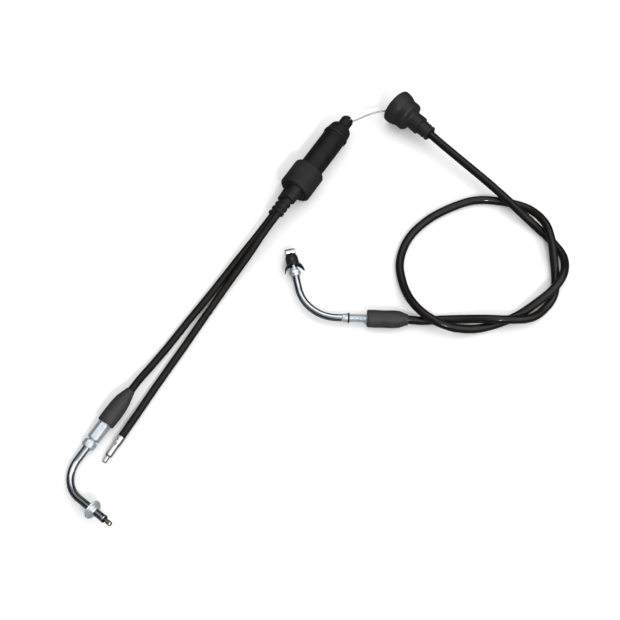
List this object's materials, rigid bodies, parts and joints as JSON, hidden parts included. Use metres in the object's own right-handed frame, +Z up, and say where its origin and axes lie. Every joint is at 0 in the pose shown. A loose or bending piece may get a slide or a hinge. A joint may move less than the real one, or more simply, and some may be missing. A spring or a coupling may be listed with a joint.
{
  "type": "throttle control cable set",
  "caption": "Moped throttle cable set: a sheathed cable with dust cup and bent tube enters a plastic splitter that feeds a carburettor cable and an oil pump cable.",
  "frame": {"origin": "on the supporting surface, under the middle of the splitter", "axes": "+Y along the splitter axis towards its end cap, +Z up from the surface it lies on"},
  "size_m": [0.2144, 0.3895, 0.0264],
  "materials": {
    "plastic": "moulded, matt",
    "rubber": "matt",
    "zinc": "bright zinc plating",
    "slider_plastic": "smooth",
    "nipple_brass": "cast",
    "nipple_steel": "cast",
    "wire_steel": "stranded, oiled",
    "dark_steel": "blackened",
    "bush_plastic": "moulded, half gloss",
    "gloss_sheath": "smooth, glossy",
    "satin_sheath": "satin"
  },
  "bodies": {
    "splitter": {"splitter_housing": "plastic", "splitter_cap": "plastic", "splitter_collar": "rubber", "outlet_plug": "plastic", "carb_outlet_boot": "rubber", "pump_outlet_boot": "rubber", "carb_upper_ferrule": "zinc", "pump_upper_ferrule": "zinc", "throttle_wire_run": "wire_steel", "cup_ferrule": "zinc", "throttle_sheath": "gloss_sheath", "throttle_sleeve": "rubber", "carb_sheath": "satin_sheath", "carb_sleeve": "rubber", "pump_sheath": "satin_sheath", "pump_ferrule": "zinc"},
    "slider": {"slider_block": "slider_plastic", "throttle_slider_nipple": "nipple_brass", "throttle_slider_wire": "wire_steel", "carb_slider_nipple": "nipple_brass", "carb_slider_wire": "wire_steel", "pump_slider_nipple": "nipple_brass", "pump_slider_wire": "wire_steel"},
    "cup": {"dust_cup": "rubber"},
    "throttle_barrel": {"throttle_adjuster": "zinc"},
    "throttle_elbow": {"throttle_tube": "zinc", "throttle_clip": "dark_steel", "throttle_tube_collar": "zinc", "throttle_tube_nut": "zinc"},
    "bush": {"snap_bush": "bush_plastic"},
    "throttle_end": {"throttle_wire_end": "wire_steel", "throttle_nipple": "nipple_steel"},
    "carb_barrel": {"carb_adjuster": "zinc"},
    "carb_elbow": {"carb_tube": "zinc", "carb_flange": "zinc"},
    "carb_nut": {"carb_lock_nut": "zinc"},
    "carb_end": {"carb_wire_end": "wire_steel", "carb_nipple": "nipple_brass"},
    "pump_end": {"pump_wire_end": "wire_steel", "pump_nipple": "nipple_steel"}
  },
  "joints": [
    {"name": "throttle_pull", "type": "slide", "parent": "throttle_elbow", "child": "throttle_end", "axis": [-0.7096, 0.7046, 0], "range_m": [0, 0.01]},
    {"name": "slider_travel", "type": "slide", "parent": "splitter", "child": "slider", "axis": [0, 1, 0], "range_m": [0, 0.01]},
    {"name": "carb_wire_draw", "type": "slide", "parent": "carb_elbow", "child": "carb_end", "axis": [-0.9618, 0.1049, -0.2529], "range_m": [0, 0.01]},
    {"name": "pump_wire_draw", "type": "slide", "parent": "splitter", "child": "pump_end", "axis": [-0.0436, 0.999, 0], "range_m": [0, 0.01]},
    {"name": "cup_slide", "type": "slide", "parent": "splitter", "child": "cup", "axis": [0.9744, -0.225, 0], "range_m": [0, 0.008]},
    {"name": "throttle_adjuster_turn", "type": "hinge", "parent": "splitter", "child": "throttle_barrel", "pos_m": [0.10611, -0.0755, 0.00625], "axis": [-0.8554, -0.518, 0], "range_deg": [0, 720]},
    {"name": "throttle_tube_screw", "type": "slide", "parent": "splitter", "child": "throttle_elbow", "axis": [-0.8554, -0.518, 0], "range_m": [0, 0.002]},
    {"name": "bush_swivel", "type": "hinge", "parent": "throttle_elbow", "child": "bush", "pos_m": [0.02915, -0.07234, 0.00625], "axis": [-0.7096, 0.7046, 0], "range_deg": [-90, 90]},
    {"name": "carb_adjuster_turn", "type": "hinge", "parent": "splitter", "child": "carb_barrel", "pos_m": [-0.0087, -0.2413, 0.0062], "axis": [-0.0313, -0.9957, -0.0872], "range_deg": [0, 720]},
    {"name": "carb_tube_screw", "type": "slide", "parent": "splitter", "child": "carb_elbow", "axis": [-0.0313, -0.9957, -0.0872], "range_m": [0, 0.002]},
    {"name": "carb_lock_nut_turn", "type": "hinge", "parent": "carb_elbow", "child": "carb_nut", "pos_m": [-0.00923, -0.25823, 0.00472], "axis": [-0.0313, -0.9957, -0.0872], "range_deg": [0, 360]}
  ],
  "couplings": [
    {"joint": "slider_travel", "follows": "throttle_pull", "ratio": 1},
    {"joint": "carb_wire_draw", "follows": "throttle_pull", "ratio": 1},
    {"joint": "pump_wire_draw", "follows": "throttle_pull", "ratio": 1},
    {"joint": "throttle_tube_screw", "follows": "throttle_adjuster_turn", "m_per_rad": 0.00015915},
    {"joint": "carb_tube_screw", "follows": "carb_adjuster_turn", "m_per_rad": 0.00015915}
  ]
}
